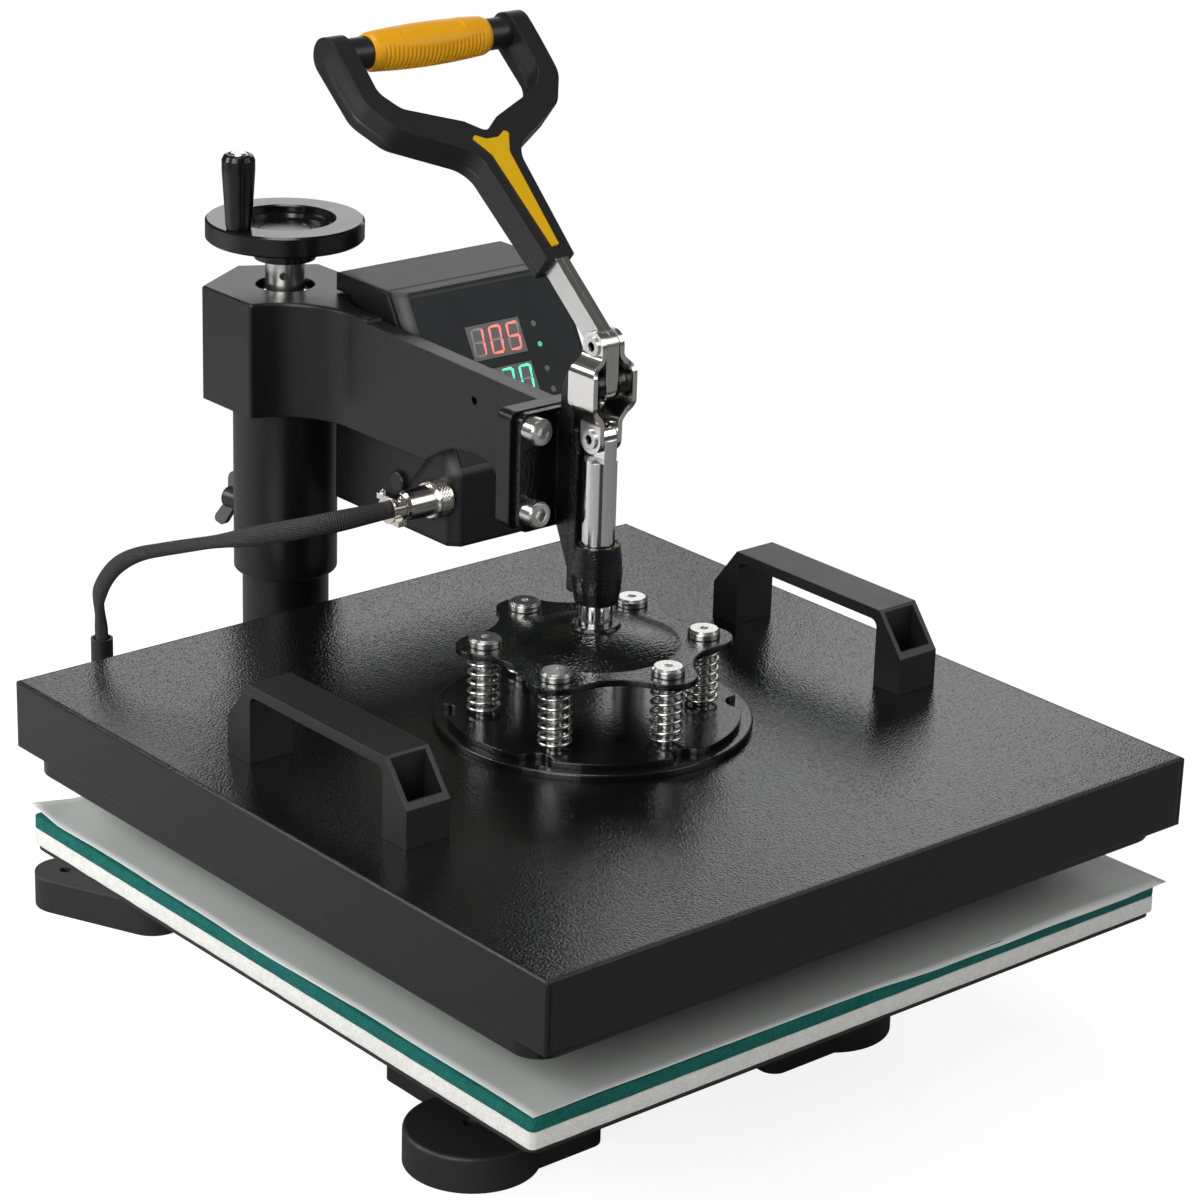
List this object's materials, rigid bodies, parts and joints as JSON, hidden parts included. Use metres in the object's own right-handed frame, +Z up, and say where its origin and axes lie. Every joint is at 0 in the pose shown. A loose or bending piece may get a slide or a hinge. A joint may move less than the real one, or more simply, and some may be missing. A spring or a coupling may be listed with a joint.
{
  "type": "combo heat press",
  "caption": "Bench heat press with a swing-away arm, square heated platen, padded lower table, toggle lever handle and a control box.",
  "frame": {"origin": "on the bench, in the middle of the four bench bolts", "axes": "+X to the user's right, +Y away from the user towards the column, +Z up"},
  "size_m": [0.386, 0.5035, 0.4805],
  "materials": {
    "casting_paint": "gloss black powder coat",
    "bracket_paint": "fine textured black",
    "cover_paint": "orange-peel black powder coat",
    "box_paint": "satin black",
    "chrome": "polished",
    "zinc_steel": "bright zinc plate",
    "black_steel": "black",
    "bronze": "machined",
    "heat_coating": "black non-stick coating",
    "element_steel": "dull",
    "mineral_wool": "matte",
    "felt": "matte",
    "silicone": "matte dark green sponge",
    "release_cloth": "translucent coated cloth",
    "black_plastic": "fine texture",
    "yellow_plastic": "satin",
    "yellow_grip": "matte",
    "overlay_film": "matte film",
    "display_face": "tinted gloss",
    "lamp_lens": "clear tinted",
    "key_grey": "satin",
    "board_green": "satin",
    "braid": "braided sleeve"
  },
  "bodies": {
    "base": {"base_casting": "casting_paint", "pad_plate": "casting_paint", "pad_plate_screws": "zinc_steel", "felt_pad": "felt", "silicone_pad": "silicone", "release_sheet": "release_cloth", "column_tube": "casting_paint", "lift_nut": "bronze"},
    "lift": {"thrust_tube": "chrome"},
    "wheel": {"handwheel": "black_plastic", "shaft_collar": "chrome", "collar_set_screw": "black_steel", "lift_screw": "zinc_steel", "crank_screw": "zinc_steel"},
    "crank": {"crank_knob": "black_plastic"},
    "arm": {"arm_casting": "casting_paint", "column_sleeve": "casting_paint", "bracket_casting": "bracket_paint", "bracket_bolts": "zinc_steel", "guide_bush": "bronze", "fulcrum_pin": "zinc_steel", "box_housing": "box_paint", "box_cover": "box_paint", "panel_overlay": "overlay_film", "display_windows": "display_face", "indicator_lamps": "lamp_lens", "circuit_board": "board_green", "panel_socket": "chrome", "cable_plug": "chrome", "blanking_plug": "black_plastic", "mains_inlet": "black_plastic", "heater_cable": "braid"},
    "lock": {"lock_knob": "black_steel"},
    "rocker": {"power_rocker": "black_plastic"},
    "set_key": {"key_set": "key_grey"},
    "up_key": {"key_up": "key_grey"},
    "down_key": {"key_down": "key_grey"},
    "press": {"press_shaft": "chrome", "pressure_plate": "casting_paint", "pressure_springs": "zinc_steel"},
    "platen": {"bayonet_plate": "casting_paint", "mount_disc": "casting_paint", "spring_screws": "zinc_steel", "platen_cover": "cover_paint", "heat_plate": "heat_coating", "heater_element": "element_steel", "insulation": "mineral_wool", "stand_offs": "zinc_steel", "carry_handle_left": "black_plastic", "carry_handle_right": "black_plastic", "carry_handle_screws": "zinc_steel", "cable_gland": "black_plastic"},
    "lever": {"lever_plates": "zinc_steel", "handle_frame": "black_plastic", "handle_inlay": "yellow_plastic", "grip_bar": "black_plastic", "grip_sleeve": "yellow_grip"},
    "link": {"link_plates": "zinc_steel", "link_pins": "zinc_steel"}
  },
  "joints": [
    {"name": "head_height", "type": "slide", "parent": "base", "child": "lift", "axis": [0, 0, 1], "range_m": [0, 0.02]},
    {"name": "arm_swing", "type": "hinge", "parent": "lift", "child": "arm", "pos_m": [0, 0.129, 0.24], "axis": [0, 0, 1], "range_deg": [-120, 120]},
    {"name": "handwheel_turn", "type": "hinge", "parent": "lift", "child": "wheel", "pos_m": [0, 0.129, 0.35], "axis": [0, 0, 1], "range_deg": [0, 1800]},
    {"name": "crank_spin", "type": "hinge", "parent": "wheel", "child": "crank", "pos_m": [-0.0316, 0.124, 0.38], "axis": [0, 0, 1], "continuous": true},
    {"name": "lock_turn", "type": "hinge", "parent": "arm", "child": "lock", "pos_m": [-0.00468, 0.16232, 0.203], "axis": [-0.1392, 0.9903, 0], "range_deg": [-90, 90]},
    {"name": "press_stroke", "type": "slide", "parent": "arm", "child": "press", "axis": [0, 0, 1], "range_m": [-0.02321, 0]},
    {"name": "lever_swing", "type": "hinge", "parent": "arm", "child": "lever", "pos_m": [0, -0.118, 0.3374], "axis": [1, 0, 0], "range_deg": [0, 113]},
    {"name": "link_swing", "type": "hinge", "parent": "lever", "child": "link", "pos_m": [0, -0.118, 0.3568], "axis": [1, 0, 0], "range_deg": [-89.17, 0]},
    {"name": "platen_float", "type": "slide", "parent": "press", "child": "platen", "axis": [0, 0, 1], "range_m": [0, 0.004], "stiffness_N_per_m": 48000, "springref_m": -0.003, "deforming": ["pressure_springs"]},
    {"name": "set_press", "type": "slide", "parent": "arm", "child": "set_key", "axis": [0, 0.8696, -0.4938], "range_m": [0, 0.001], "stiffness_N_per_m": 400, "springref_m": -0.0005},
    {"name": "down_press", "type": "slide", "parent": "arm", "child": "down_key", "axis": [0, 0.8696, -0.4938], "range_m": [0, 0.001], "stiffness_N_per_m": 400, "springref_m": -0.0005},
    {"name": "up_press", "type": "slide", "parent": "arm", "child": "up_key", "axis": [0, 0.8696, -0.4938], "range_m": [0, 0.001], "stiffness_N_per_m": 400, "springref_m": -0.0005},
    {"name": "rocker_tilt", "type": "hinge", "parent": "arm", "child": "rocker", "pos_m": [0.054, 0.102, 0.246], "axis": [1, 0, 0], "range_deg": [0, 12]}
  ],
  "couplings": [
    {"joint": "handwheel_turn", "follows": "head_height", "rad_per_m": 1570.8},
    {"joint": "lever_swing", "follows": "press_stroke", "rad_per_m": -84.965},
    {"joint": "link_swing", "follows": "press_stroke", "rad_per_m": 67.047}
  ]
}
